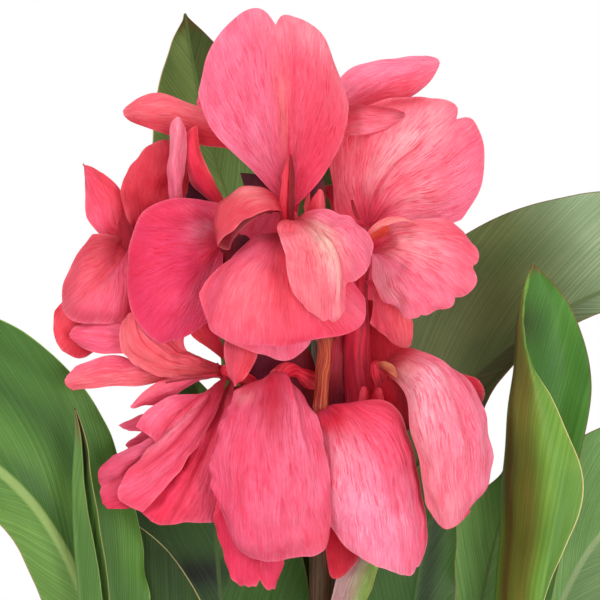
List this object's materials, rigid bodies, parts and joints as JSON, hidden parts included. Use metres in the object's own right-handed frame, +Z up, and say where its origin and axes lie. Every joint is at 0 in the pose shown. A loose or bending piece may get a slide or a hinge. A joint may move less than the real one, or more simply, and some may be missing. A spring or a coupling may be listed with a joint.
{
  "type": "canna lily plant",
  "caption": "Canna lily with a dense head of ruffled pink flowers and broad pointed leaves on upright stems, growing in a plain round tapered pot of soil.",
  "frame": {"origin": "centre of the flat underside of the pot, on the surface it stands on", "axes": "+Z up along the plant, -Y towards the front from which the flower head is seen, +X to the right of that view"},
  "size_m": [0.4667, 0.252, 0.8876],
  "materials": {
    "pot": "satin",
    "soil": "matte",
    "stalk": "satin",
    "leaf": "satin",
    "corolla": "satin",
    "petal": "satin"
  },
  "bodies": {
    "root": {"corolla_far_left": "corolla", "corolla_hanging": "corolla", "corolla_lower_left": "corolla", "corolla_lower_middle": "corolla", "corolla_lower_right": "corolla", "corolla_right": "corolla", "corolla_top_back": "corolla", "corolla_top_front": "corolla", "corolla_upper_left": "corolla", "flower_stalk": "stalk", "leaf_left_broad": "leaf", "leaf_left_rolled": "leaf", "leaf_low_left": "leaf", "leaf_low_rear": "leaf", "leaf_middle_right": "leaf", "leaf_rear_left": "leaf", "leaf_right_arch": "leaf", "leaf_right_inner": "leaf", "leaf_right_low": "leaf", "leaf_right_rolled": "leaf", "left_shoot": "stalk", "petal_apron": "petal", "petal_crest_left": "petal", "petal_crest_rear": "petal", "petal_crest_right": "petal", "petal_far_left_broad": "petal", "petal_far_left_point": "petal", "petal_far_left_rear": "petal", "petal_far_left_round": "petal", "petal_left_broad": "petal", "petal_left_curl": "petal", "petal_left_drop": "petal", "petal_left_strap": "petal", "petal_left_upright": "petal", "petal_left_wing": "petal", "petal_lip": "petal", "petal_rear_left_drop": "petal", "petal_rear_right_drop": "petal", "petal_right_curl": "petal", "petal_right_edge": "petal", "petal_right_fan": "petal", "petal_right_lip": "petal", "petal_skirt_far_right": "petal", "petal_skirt_left_lower": "petal", "petal_skirt_left_rear": "petal", "petal_skirt_left_upper": "petal", "petal_skirt_middle": "petal", "petal_skirt_right": "petal", "petal_skirt_tail": "petal", "petal_skirt_under": "petal", "petal_standard": "petal", "petal_star_curled": "petal", "petal_star_long": "petal", "petal_star_lower": "petal", "petal_star_upper": "petal", "petal_under_apron": "petal", "pot": "pot", "right_shoot": "stalk", "soil": "soil"}
  },
  "joints": []
}
